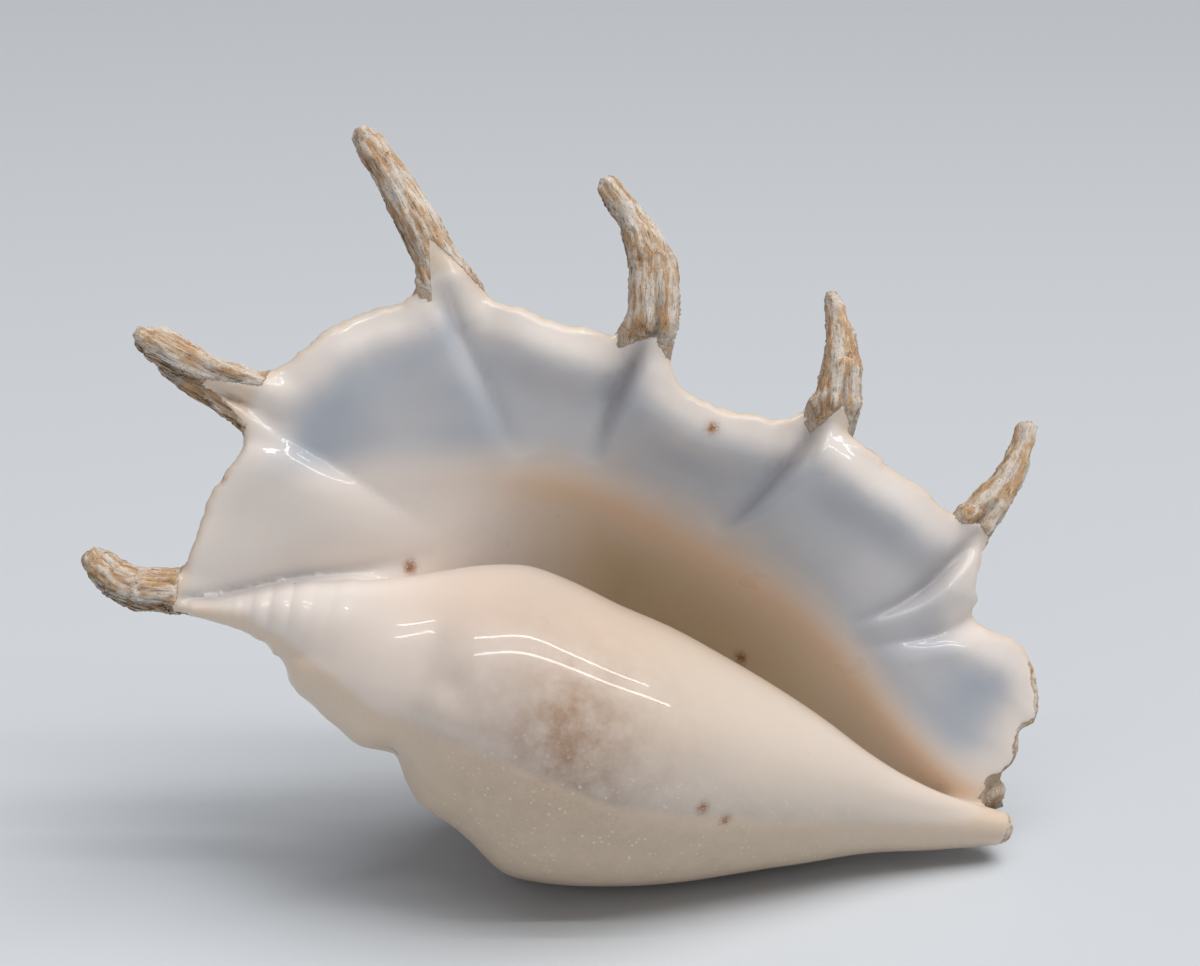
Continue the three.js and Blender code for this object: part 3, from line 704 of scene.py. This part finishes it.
class Mark:
    """A number or colour that varies over a surface; Python's signs add the nodes that work it out."""

    def __init__(self, tree, socket):
        self.tree, self.socket = tree, socket

    def node(self, kind, settings=None, inputs=None, output=0):
        made = self.tree.nodes.new(kind)
        for name, value in (settings or {}).items():
            setattr(made, name, value)
        for key, value in (inputs or {}).items():
            if isinstance(value, Mark):
                self.tree.links.new(value.socket, made.inputs[key])
            else:
                made.inputs[key].default_value = value
        return Mark(self.tree, made.outputs[output])

    def math(self, operation, first, second=0.0):
        return self.node("ShaderNodeMath", {"operation": operation}, {0: first, 1: second})

    def __add__(self, other):
        return self.math("ADD", self, other)

    def __sub__(self, other):
        return self.math("SUBTRACT", self, other)

    def __rsub__(self, other):
        return self.math("SUBTRACT", other, self)

    def __mul__(self, other):
        return self.math("MULTIPLY", self, other)

    __radd__, __rmul__ = __add__, __mul__

    def between(self, low, high):
        return self.node("ShaderNodeMapRange", {"interpolation_type": "SMOOTHSTEP"},
                         {0: self, 1: low, 2: high, 3: 0.0, 4: 1.0})

    def clipped(self):
        return self.node("ShaderNodeMath", {"operation": "ADD", "use_clamp": True}, {0: self, 1: 0.0})


def start_finish(name):
    finish = bpy.data.materials.new(name)
    finish.use_nodes = True
    shader = finish.node_tree.nodes["Principled BSDF"]
    return finish, shader, Mark(finish.node_tree, None)


def attribute(nodes, name, vector=False):
    return nodes.node("ShaderNodeAttribute", {"attribute_name": name}, output=1 if vector else 2)


def over(nodes, under, colour, share):
    """A colour laid over another by a share that varies."""
    colour = colour if isinstance(colour, Mark) else (*colour, 1)
    return nodes.node("ShaderNodeMix", {"data_type": "RGBA"}, {0: share, 6: under, 7: colour}, output=2)


def noise(nodes, vector, scale, detail=2.0, roughness=0.5):
    return nodes.node("ShaderNodeTexNoise", None,
                      {"Vector": vector, "Scale": scale, "Detail": detail, "Roughness": roughness})


def stretched(nodes, vector, scale):
    return nodes.node("ShaderNodeVectorMath", {"operation": "MULTIPLY"}, {0: vector, 1: scale})


finish, shader, nodes = start_finish("conch_shell")
spot_of = attribute(nodes, "place", True)
along_fibre = attribute(nodes, "fibre", True)
fine = noise(nodes, spot_of, 0.9, 3.0)
broad = noise(nodes, spot_of, 0.06, 2.0)
streaks = noise(nodes, stretched(nodes, along_fibre, (0.07, 0.7, 0.7)), 1.0, 5.0, 0.65)
threads = noise(nodes, stretched(nodes, along_fibre, (0.16, 2.0, 2.0)), 1.0, 5.0, 0.7)
blotches = noise(nodes, stretched(nodes, along_fibre, (0.10, 0.3, 0.3)), 1.0, 3.0, 0.55)
crumbs = noise(nodes, spot_of, 1.6, 4.0, 0.7)
raw_here = attribute(nodes, "raw") + (fine - 0.5) * 1.6
crust = raw_here.between(-0.25, 0.3)

colour = over(nodes, (*WHITE, 1), PEACH, attribute(nodes, "warm").clipped())
colour = over(nodes, colour, DULL, (attribute(nodes, "dull") * 0.5).clipped())
# painted reflection and shade in the bowl, over its own lavender grey
bowl_tint_reflection_shade_share = attribute(nodes, "bowl_tint_reflection_shade")
colour = over(nodes, colour, LILAC_SHADE_AND_REFLECTION, (bowl_tint_reflection_shade_share * 0.75 + (broad - 0.5) * 0.3 * bowl_tint_reflection_shade_share).clipped())
# painted shade in the lip's creases
colour = over(nodes, colour, SHADE, (attribute(nodes, "painted_crease_shade") * 0.75).clipped())
colour = over(nodes, colour, TAN, (attribute(nodes, "tan_line") * 0.55).clipped())
colour = over(nodes, colour, OLIVE, (attribute(nodes, "mouth") * 0.95).clipped())
clouds = noise(nodes, spot_of, 0.16, 5.0, 0.65)
colour = over(nodes, colour, PLUM, (attribute(nodes, "plum") * (clouds * 2.2 - 0.35)).clipped())
# etched underside, darkened as painted shade
colour = over(nodes, colour, ETCHED_AND_SHADED, (attribute(nodes, "under") * (clouds * 1.2)).clipped())
specks = nodes.node("ShaderNodeTexVoronoi", None, {"Vector": spot_of, "Scale": 0.42, "Randomness": 1.0})
speck_share = (0.26 - specks).between(0, 0.12) * attribute(nodes, "under")
speck_share = speck_share * noise(nodes, spot_of, 0.12).between(0.4, 0.6)
colour = over(nodes, colour, SPECK, (speck_share * 0.9).clipped())
rim = (1 - attribute(nodes, "rim").between(0.2, 3.5)) * (1 - crust)
colour = over(nodes, colour, EDGE_TAN, (rim * (0.35 + 0.5 * fine)).clipped())
ragged = noise(nodes, spot_of, 1.4, 4.0, 0.7)
colour = over(nodes, colour, RUST, (attribute(nodes, "stain") * ragged.between(0.36, 0.5) * 1.4).clipped())
colour = over(nodes, colour, DIRT_AND_SHADE, (attribute(nodes, "dirt") * ragged.between(0.35, 0.5)).clipped())
chalk = over(nodes, (*CHALK, 1), BARK, blotches.between(0.40, 0.58) * 0.85)
chalk = over(nodes, chalk, PALE_CHALK, streaks.between(0.52, 0.62) * 0.75)
chalk = over(nodes, chalk, RUST, (1 - streaks.between(0.36, 0.46)) * 0.6)
# painted shade in the crust's crevices, where its threads and crumbs sink lowest
chalk = over(nodes, chalk, DIRT_AND_SHADE, (1 - threads.between(0.34, 0.44)) * 0.75)
chalk = over(nodes, chalk, DIRT_AND_SHADE, (1 - crumbs.between(0.36, 0.44)) * 0.45)
# painted shade: the fingers' downward sides made near-black
finger_underside_shade = attribute(nodes, "finger_underside_shade") * (1 - threads.between(0.4, 0.6))
chalk = over(nodes, chalk, DIRT_AND_SHADE, finger_underside_shade.clipped())
# painted shade along the bottom of each finger's gutter
gutter_shade = attribute(nodes, "gutter") * 0.9 * threads.between(0.3, 0.6)
chalk = over(nodes, chalk, DIRT_AND_SHADE, gutter_shade.clipped())
colour = over(nodes, colour, chalk, crust)
nodes.tree.links.new(colour.socket, shader.inputs["Base Color"])
gloss = 0.30 + crust * 0.55 + (broad - 0.5) * 0.12 + attribute(nodes, "matt") * 0.2
nodes.tree.links.new(gloss.socket, shader.inputs["Roughness"])
coat = (1 - crust) * (0.55 - attribute(nodes, "matt") * 0.5)
nodes.tree.links.new(coat.clipped().socket, shader.inputs["Coat Weight"])
shader.inputs["Coat Roughness"].default_value = 0.03
shader.inputs["Subsurface Weight"].default_value = 0.12
shader.inputs["Subsurface Radius"].default_value = (0.004, 0.0025, 0.0015)
shader.inputs["Subsurface Scale"].default_value = 1.0
height = crust * (streaks * 0.5 + threads * 0.45 + crumbs * 0.35) + (1 - crust) * broad * 0.02
bump = nodes.node("ShaderNodeBump", None, {"Height": height, "Strength": 0.9, "Distance": 0.0011})
nodes.tree.links.new(bump.socket, shader.inputs["Normal"])
conch.data.materials.clear()
conch.data.materials.append(finish)

# The floor, light and camera: a pale studio floor, soft light from above and the photograph's view.

bpy.ops.mesh.primitive_plane_add(size=12, location=(0, 2, 0))
floor = bpy.context.object
floor.name = "floor"
floor_finish, floor_shader, _ = start_finish("pale_floor")
floor_shader.inputs["Base Color"].default_value = (0.62, 0.64, 0.66, 1)
floor_shader.inputs["Roughness"].default_value = 0.55
floor.data.materials.append(floor_finish)


def soft_light(name, place, aim, size, power):
    """A lit rectangle that faces its aim, with its long side level with the ground."""
    bpy.ops.object.light_add(type="AREA", location=place)
    light = bpy.context.object
    light.name = name
    light.data.shape = "RECTANGLE"
    light.data.size, light.data.size_y = size
    light.data.energy = power
    back = (Vector(place) - Vector(aim)).normalized()
    across = (Vector((1, 0, 0)) - back * back.x).normalized()
    light.rotation_euler = Matrix((across, back.cross(across), back)).transposed().to_euler()
    return light


soft_light("front_bar", (0.5, -0.75, 2.1), (0, 0, 0.08), (3.0, 0.08), 12)
soft_light("back_bar", (0.3, -0.25, 2.2), (0, 0, 0.08), (2.2, 0.06), 7)
fill = soft_light("front_fill", (-1.2, -2.4, 1.0), (0, 0, 0.1), (2.4, 1.6), 8)
fill.visible_glossy = False
bpy.ops.object.light_add(type="SUN", location=(0, 0, 3), rotation=(math.radians(-4), math.radians(24), 0))
overhead = bpy.context.object
overhead.name = "overhead"
overhead.data.energy = 2.05
overhead.visible_glossy = False
overhead.data.angle = math.radians(45)
world = bpy.data.worlds.new("room")
bpy.context.scene.world = world
world.use_nodes = True
world.node_tree.nodes["Background"].inputs["Color"].default_value = (0.84, 0.9, 1.0, 1)
world.node_tree.nodes["Background"].inputs["Strength"].default_value = 0.22

bpy.ops.object.camera_add(location=(0.00739, -0.66847, 0.36733), rotation=(math.radians(70), 0, 0))
camera = bpy.context.object
camera.data.lens = 70
camera.data.sensor_width = 36
camera.data.clip_start, camera.data.clip_end = 0.05, 50
bpy.context.scene.camera = camera
bpy.context.scene.view_settings.view_transform = "Standard"
